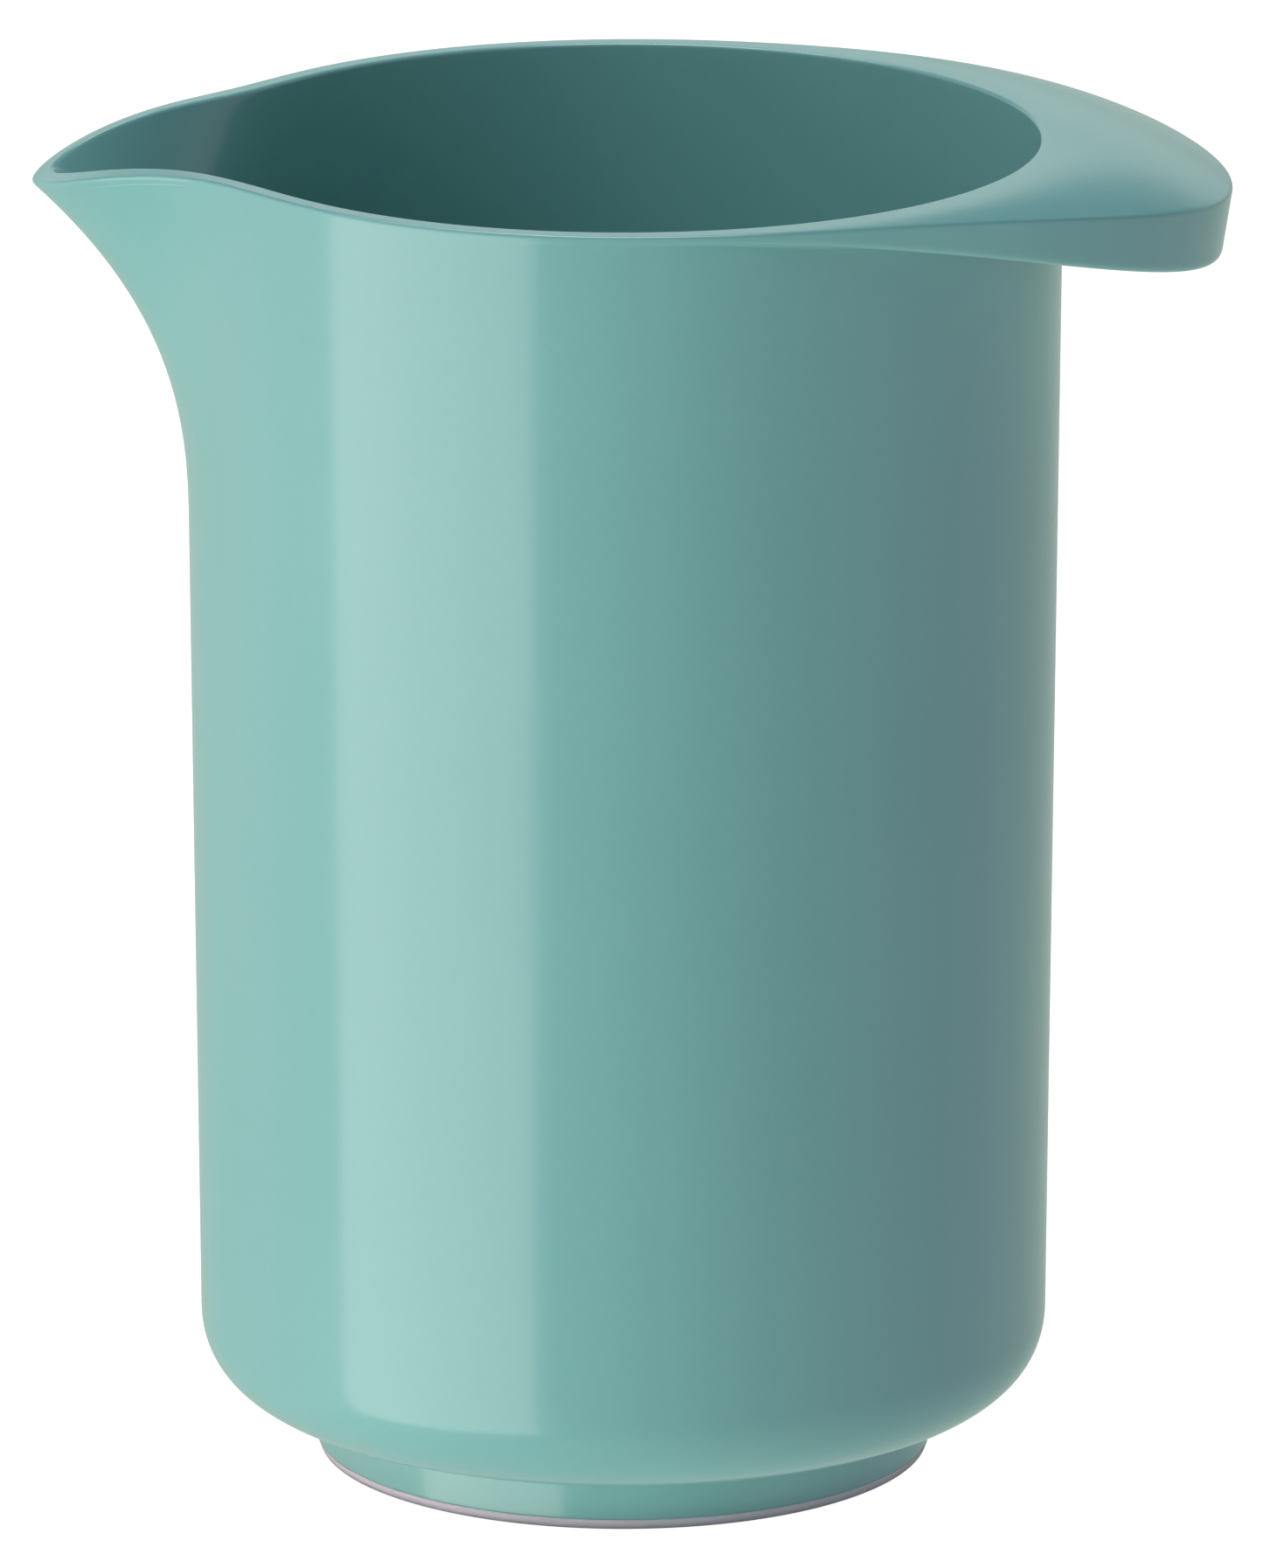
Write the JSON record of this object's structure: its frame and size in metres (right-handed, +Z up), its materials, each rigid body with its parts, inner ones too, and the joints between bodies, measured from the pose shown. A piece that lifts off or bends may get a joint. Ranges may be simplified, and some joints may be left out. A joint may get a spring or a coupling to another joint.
{
  "type": "mixing bowl",
  "caption": "Tall round mixing jug with a drawn-out pouring spout, a solid ledge handle at the rim, a rounded bottom and a small foot on a non-slip rubber ring.",
  "frame": {"origin": "on the jug's upright axis, at the table plane that the rubber ring stands on", "axes": "+Z up, +X from the axis towards the ledge handle, -X towards the pouring spout, +Y across; the jug is mirror symmetric about the XZ plane"},
  "size_m": [0.1527, 0.1122, 0.1733],
  "materials": {
    "moulded_body": "smooth glossy moulded melamine in a soft teal green, coloured all through",
    "ring_rubber": "matte grey non-slip rubber"
  },
  "bodies": {
    "root": {"jug_body": "moulded_body", "nonslip_ring": "ring_rubber"}
  },
  "joints": []
}
